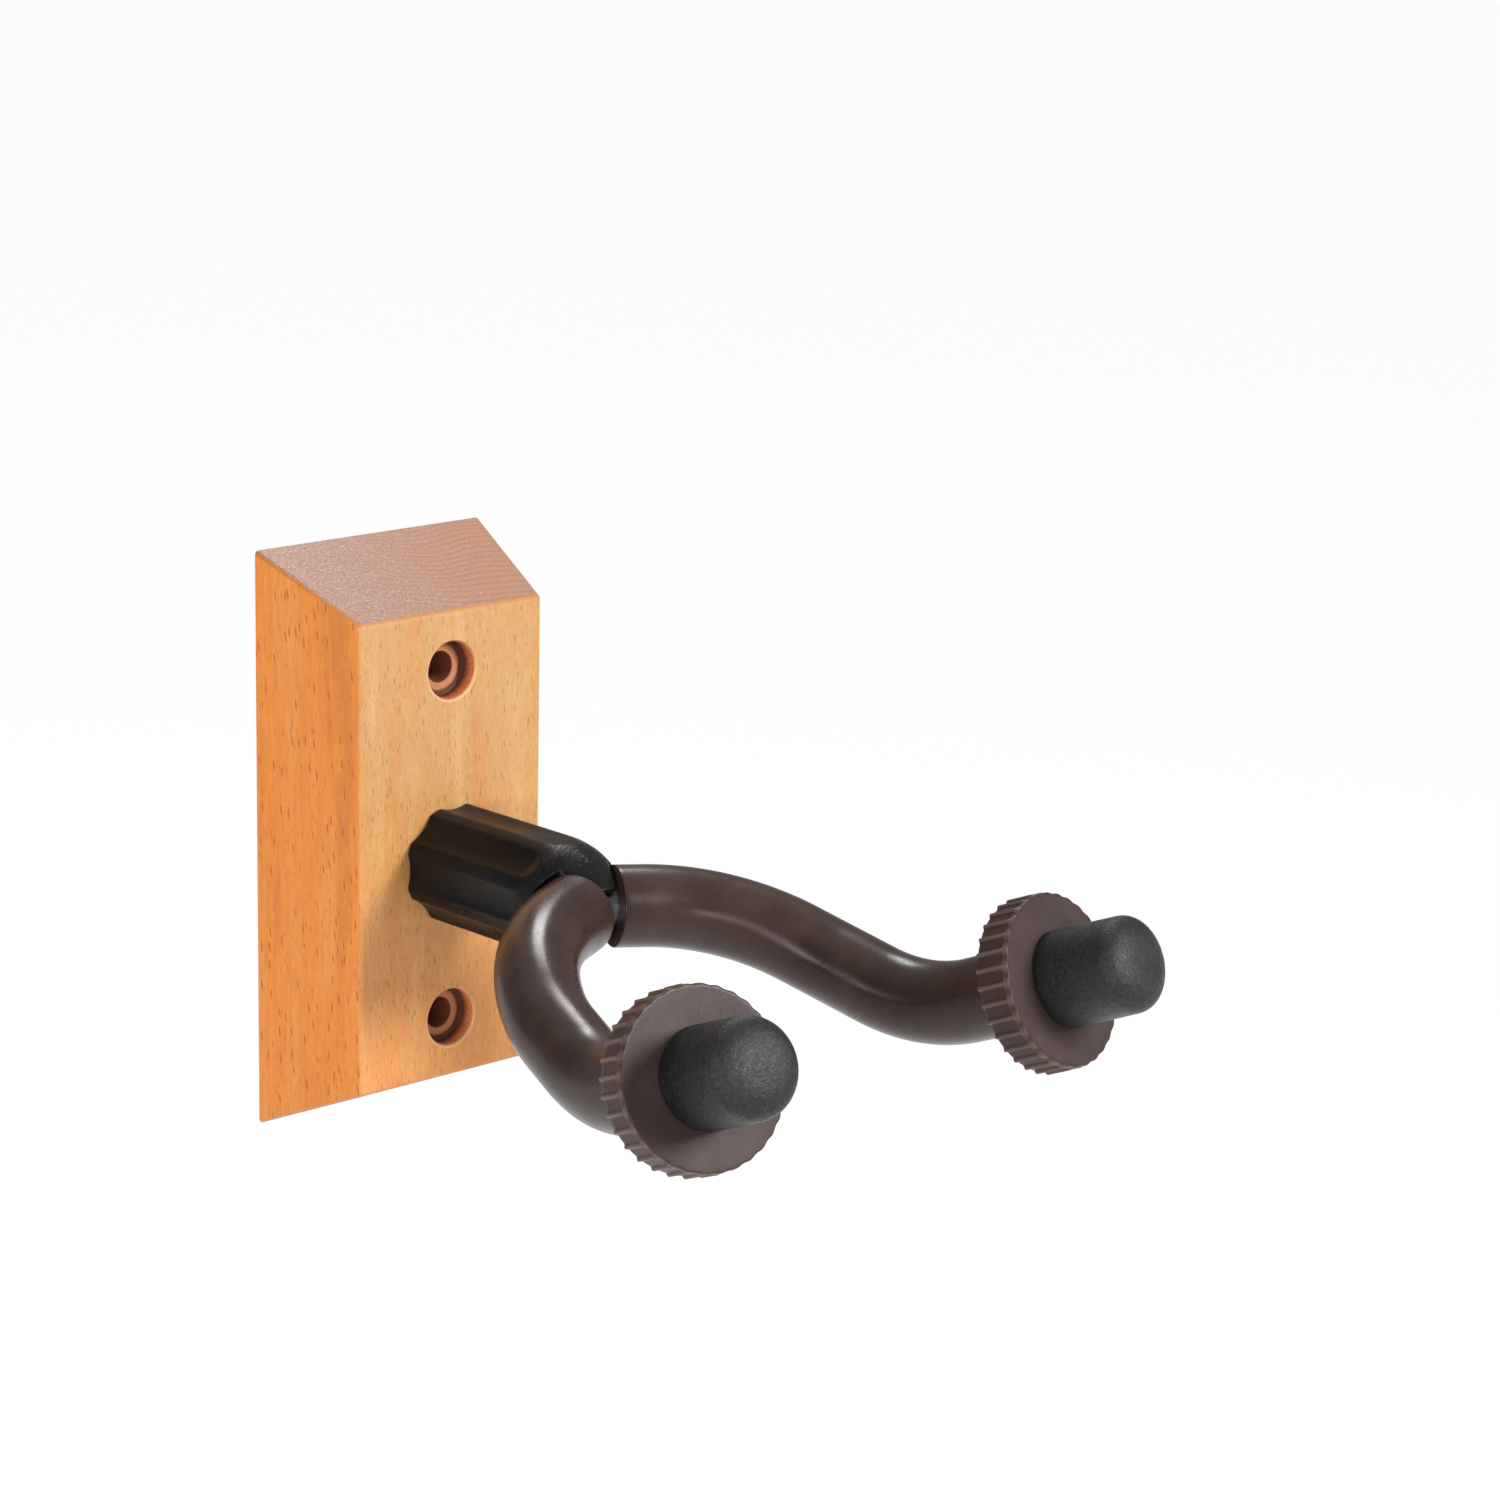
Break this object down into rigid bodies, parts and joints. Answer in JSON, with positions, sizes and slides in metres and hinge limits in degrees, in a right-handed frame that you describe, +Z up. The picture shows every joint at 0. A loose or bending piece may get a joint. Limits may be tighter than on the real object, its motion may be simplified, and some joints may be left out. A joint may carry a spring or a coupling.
{
  "type": "wall guitar hanger",
  "caption": "Wall hanger for a guitar: bevelled wood block, fluted swivelling neck, padded yoke arms with ribbed end discs and rubber caps.",
  "frame": {"origin": "middle of the wood block's back face, where it meets the wall", "axes": "+Z up, +Y into the wall, so the arms reach out along -Y; the hanger is symmetric about the plane X = 0"},
  "size_m": [0.1306, 0.1806, 0.125],
  "materials": {
    "beech": "lacquered",
    "nylon": "satin",
    "zinc_steel": "zinc plated",
    "spring_steel": "plain",
    "blue_nylon": "satin",
    "black_moulding": "satin",
    "brown_hose": "satin",
    "brown_rubber": "matte",
    "black_rubber": "matte"
  },
  "bodies": {
    "wall_block": {"wood_block": "beech", "shaft_bush": "nylon"},
    "yoke": {"swivel_shaft": "zinc_steel", "yoke_rod": "zinc_steel", "neck_housing": "black_moulding", "front_washer": "nylon", "rear_washer": "zinc_steel", "spring_washer": "spring_steel", "lock_nut": "zinc_steel", "nut_insert": "blue_nylon", "sleeve_left": "brown_hose", "sleeve_right": "brown_hose", "retainer_left": "spring_steel", "retainer_right": "spring_steel", "cap_left": "black_rubber", "cap_right": "black_rubber"},
    "disc_left": {"disc_left": "brown_rubber"},
    "disc_right": {"disc_right": "brown_rubber"}
  },
  "joints": [
    {"name": "yoke_swivel", "type": "hinge", "parent": "wall_block", "child": "yoke", "pos_m": [0, -0.04, -0.0035], "axis": [0, 1, 0], "continuous": true},
    {"name": "disc_left_turn", "type": "hinge", "parent": "yoke", "child": "disc_left", "pos_m": [-0.04731, -0.15546, -0.00903], "axis": [-0.1553, -0.9131, 0.3771], "continuous": true},
    {"name": "disc_right_turn", "type": "hinge", "parent": "yoke", "child": "disc_right", "pos_m": [0.04731, -0.15546, -0.00903], "axis": [0.1553, -0.9131, 0.3771], "continuous": true}
  ]
}
